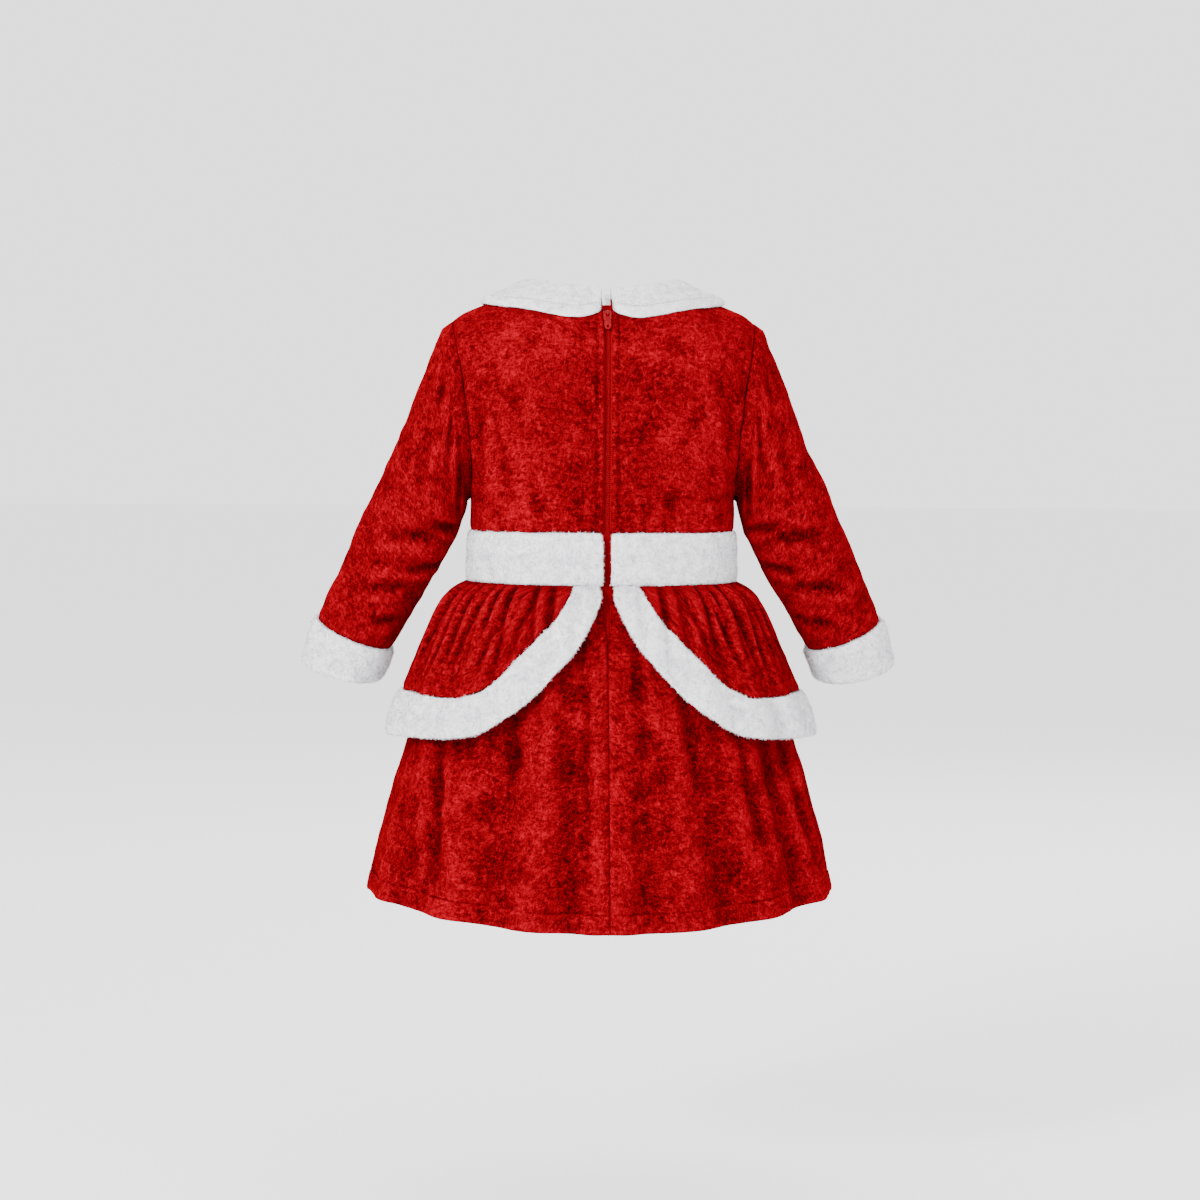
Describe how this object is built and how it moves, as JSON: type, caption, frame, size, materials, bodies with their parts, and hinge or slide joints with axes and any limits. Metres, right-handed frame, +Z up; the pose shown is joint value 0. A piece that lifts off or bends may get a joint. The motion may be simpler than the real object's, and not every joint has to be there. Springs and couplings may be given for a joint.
{
  "type": "christmas costume dress",
  "caption": "Child's red crushed-velvet costume dress, worn shape, with white fleece collar, waistband, cuffs and peplum trim, zipped at the back.",
  "frame": {"origin": "midway between the shoulders, where the wearer holds the dress up", "axes": "+Z up, +Y towards the back with the zip, +X towards the wearer's left"},
  "size_m": [0.4774, 0.3071, 0.5053],
  "materials": {
    "velvet": "deep red crushed velvet, mottled nap with a soft sheen",
    "fleece": "white brushed fleece, matt, short pile",
    "zip_tape": "woven red tape with a nylon coil",
    "zip_enamel": "red enamel, satin"
  },
  "bodies": {
    "dress": {"bodice_front": "velvet", "bodice_back_left": "velvet", "bodice_back_right": "velvet", "sleeve_left": "velvet", "sleeve_right": "velvet", "peplum_front": "velvet", "peplum_back_left": "velvet", "peplum_back_right": "velvet", "skirt_front": "velvet", "skirt_back_left": "velvet", "skirt_back_right": "velvet", "cuff_left": "fleece", "cuff_right": "fleece", "collar_left": "fleece", "collar_right": "fleece", "waistband_front": "fleece", "waistband_back_left": "fleece", "waistband_back_right": "fleece", "peplum_trim_front": "fleece", "peplum_trim_back_left": "fleece", "peplum_trim_back_right": "fleece", "zip_tape_left": "zip_tape", "zip_tape_right": "zip_tape", "zip_slider": "zip_enamel"},
    "zip_pull": {"zip_pull": "zip_enamel"}
  },
  "joints": [
    {"name": "zip_pull_hinge", "type": "hinge", "parent": "dress", "child": "zip_pull", "pos_m": [0, 0.06717, -0.01319], "axis": [1, 0, 0], "range_deg": [0, 170]}
  ]
}
